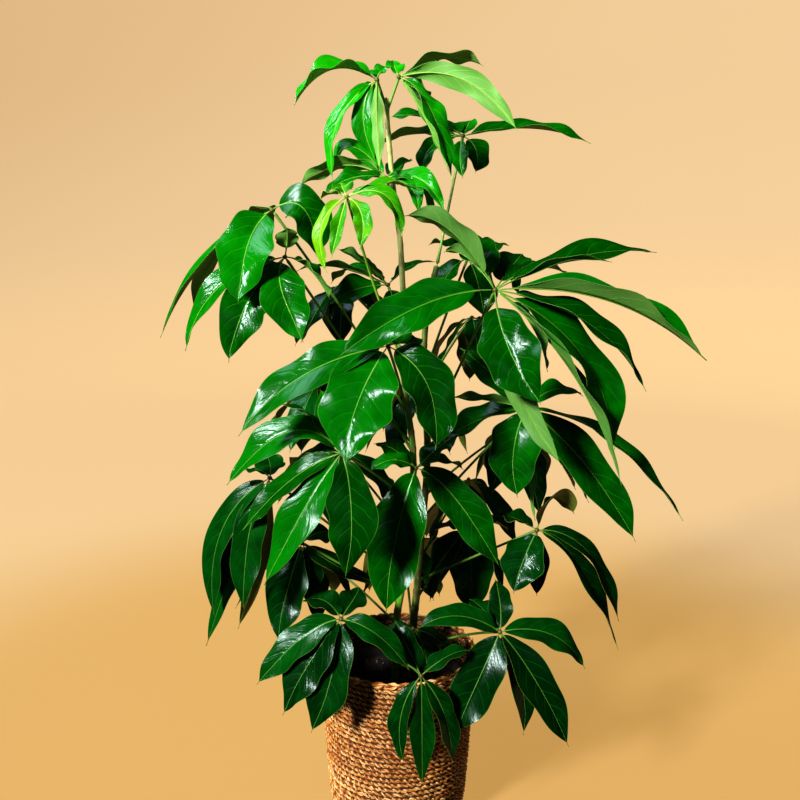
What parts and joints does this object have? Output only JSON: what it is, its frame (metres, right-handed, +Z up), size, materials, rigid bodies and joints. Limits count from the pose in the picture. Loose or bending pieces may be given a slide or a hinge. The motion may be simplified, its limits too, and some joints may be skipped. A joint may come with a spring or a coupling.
{
  "type": "potted umbrella plant",
  "caption": "Tall umbrella plant with drooping palmate leaves on upright canes, rooted in a nursery pot that stands in a woven seagrass basket.",
  "frame": {"origin": "on the floor under the middle of the basket's round foot", "axes": "+Z up along the basket's axis, -Y towards the side that the picture shows"},
  "size_m": [0.8989, 0.6521, 1.3801],
  "materials": {
    "seagrass": "matte",
    "pot_plastic": "satin",
    "potting_soil": "matte",
    "cane_bark": "satin",
    "leaf_young": "satin",
    "leaf_green": "gloss",
    "leaf_mature": "gloss"
  },
  "bodies": {
    "root": {"basket": "seagrass", "nursery_pot": "pot_plastic", "soil": "potting_soil", "cane_main": "cane_bark", "cane_right": "cane_bark", "leaf_crown_left": "leaf_young", "leaf_crown_right": "leaf_young", "leaf_upper_back": "leaf_green", "leaf_upper_mid": "leaf_young", "leaf_young": "leaf_young", "leaf_left_upper": "leaf_green", "leaf_left": "leaf_green", "leaf_behind_centre": "leaf_mature", "leaf_behind_right": "leaf_mature", "leaf_big": "leaf_mature", "leaf_right": "leaf_mature", "leaf_front": "leaf_mature", "leaf_left_mid": "leaf_mature", "leaf_left_low": "leaf_mature", "leaf_low_behind_left": "leaf_mature", "leaf_centre": "leaf_mature", "leaf_right_low": "leaf_mature", "leaf_low_behind_right": "leaf_mature", "leaf_low_inner": "leaf_mature", "leaf_rim_right": "leaf_mature", "leaf_rim_left": "leaf_mature", "leaf_rim_front": "leaf_mature", "leaf_far_1": "leaf_mature", "leaf_far_2": "leaf_mature", "leaf_far_3": "leaf_mature", "leaf_far_4": "leaf_mature", "leaf_far_5": "leaf_mature", "leaf_far_6": "leaf_mature", "leaf_far_7": "leaf_mature", "leaf_far_8": "leaf_mature", "leaf_far_9": "leaf_mature"}
  },
  "joints": []
}
